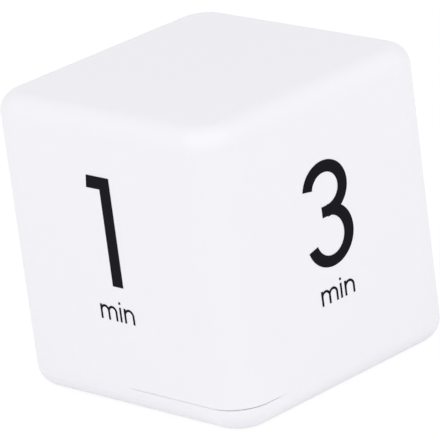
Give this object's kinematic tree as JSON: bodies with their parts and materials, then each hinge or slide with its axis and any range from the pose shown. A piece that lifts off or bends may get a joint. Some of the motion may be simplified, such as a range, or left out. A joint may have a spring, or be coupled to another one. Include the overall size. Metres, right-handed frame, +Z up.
{
  "type": "digital flip timer",
  "caption": "White rounded cube timer with black minute numerals on its sides and a blank top; turning a numeral up starts that countdown.",
  "frame": {"origin": "on the resting face, under the middle of the body", "axes": "+Z up to the blank top, -Y the side marked 1, +X the side marked 3"},
  "size_m": [0.0636, 0.0636, 0.0635],
  "materials": {
    "white_body": "satin moulded",
    "black_ink": "printed ink",
    "grey_button": "fine grain",
    "steel": "zinc plated",
    "nickel": "nickel plated",
    "tin": "tinned",
    "cell_jacket": "plain printed sleeve on a metal can",
    "board_green": "solder mask",
    "black_epoxy": "moulded epoxy",
    "brass": "rolled",
    "phenolic": "plain",
    "tan_ceramic": "fired",
    "capacitor_blue": "shrink sleeve"
  },
  "bodies": {
    "housing": {"shell": "white_body", "base_cover": "white_body", "cover_screws": "steel", "battery_cell_1": "cell_jacket", "battery_cell_2": "cell_jacket", "negative_contact": "nickel", "negative_spring": "nickel", "positive_contact": "nickel", "link_contact": "nickel", "link_spring": "nickel", "main_board": "board_green", "board_screws": "steel", "timer_chip": "black_epoxy", "chip_leads": "tin", "clock_crystal": "tin", "filter_capacitor": "capacitor_blue", "chip_resistors": "black_epoxy", "chip_capacitors": "tan_ceramic", "drive_transistor": "black_epoxy", "buzzer_case": "black_epoxy", "buzzer_disc": "brass", "buzzer_plug": "phenolic", "buzzer_pins": "tin", "tilt_can_1": "nickel", "tilt_can_2": "nickel", "tilt_can_3": "nickel", "tilt_header_1": "phenolic", "tilt_header_2": "phenolic", "tilt_header_3": "phenolic", "tilt_legs_1": "tin", "tilt_legs_2": "tin", "tilt_legs_3": "tin", "switch_case": "tin", "switch_wafer": "phenolic", "switch_terminals": "tin", "one_print": "black_ink", "three_print": "black_ink", "five_print": "black_ink", "ten_print": "black_ink"},
    "battery_door": {"battery_door": "white_body"},
    "power_slider": {"switch_button": "grey_button", "switch_rider": "grey_button", "switch_lever": "black_epoxy"},
    "tilt_ball_1": {"tilt_ball_1": "steel"},
    "tilt_ball_2": {"tilt_ball_2": "steel"},
    "tilt_ball_3": {"tilt_ball_3": "steel"}
  },
  "joints": [
    {"name": "battery_door_hinge", "type": "hinge", "parent": "housing", "child": "battery_door", "pos_m": [0, 0.0171, 0.00115], "axis": [1, 0, 0], "range_deg": [0, 75]},
    {"name": "power_switch_slide", "type": "slide", "parent": "housing", "child": "power_slider", "axis": [1, 0, 0], "range_m": [0, 0.0025]},
    {"name": "tilt_ball_1_roll", "type": "slide", "parent": "housing", "child": "tilt_ball_1", "axis": [0.5774, 0.5774, 0.5774], "range_m": [0, 0.00455]},
    {"name": "tilt_ball_2_roll", "type": "slide", "parent": "housing", "child": "tilt_ball_2", "axis": [-0.5774, 0.5774, 0.5774], "range_m": [0, 0.00455]},
    {"name": "tilt_ball_3_roll", "type": "slide", "parent": "housing", "child": "tilt_ball_3", "axis": [0.5774, -0.5774, 0.5774], "range_m": [0, 0.00455]}
  ]
}
